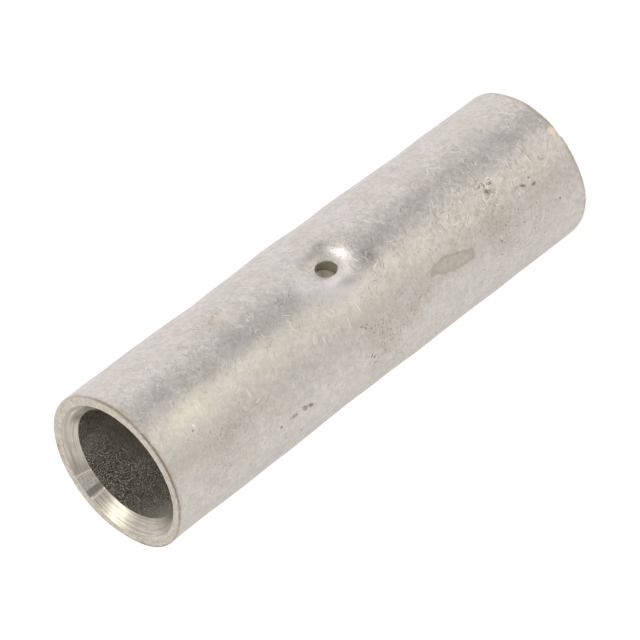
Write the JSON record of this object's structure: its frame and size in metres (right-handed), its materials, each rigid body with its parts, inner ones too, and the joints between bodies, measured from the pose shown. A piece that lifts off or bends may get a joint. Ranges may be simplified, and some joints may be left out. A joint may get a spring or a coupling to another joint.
{
  "type": "butt splice connector",
  "caption": "Bare tin-plated copper tube with countersunk ends and a punched sight hole, crimped over two conductors to join them end to end.",
  "frame": {"origin": "centre of the lower end face, on the axis of the bore", "axes": "+Z along the bore, from the lower end to the upper end; -Y is the side that the sight hole looks to"},
  "size_m": [0.0116, 0.0116, 0.04],
  "materials": {
    "tinned_copper": "satin tin plating over copper, finely scratched and lightly stained, duller inside the bore"
  },
  "bodies": {
    "root": {"splice_tube": "tinned_copper"}
  },
  "joints": []
}
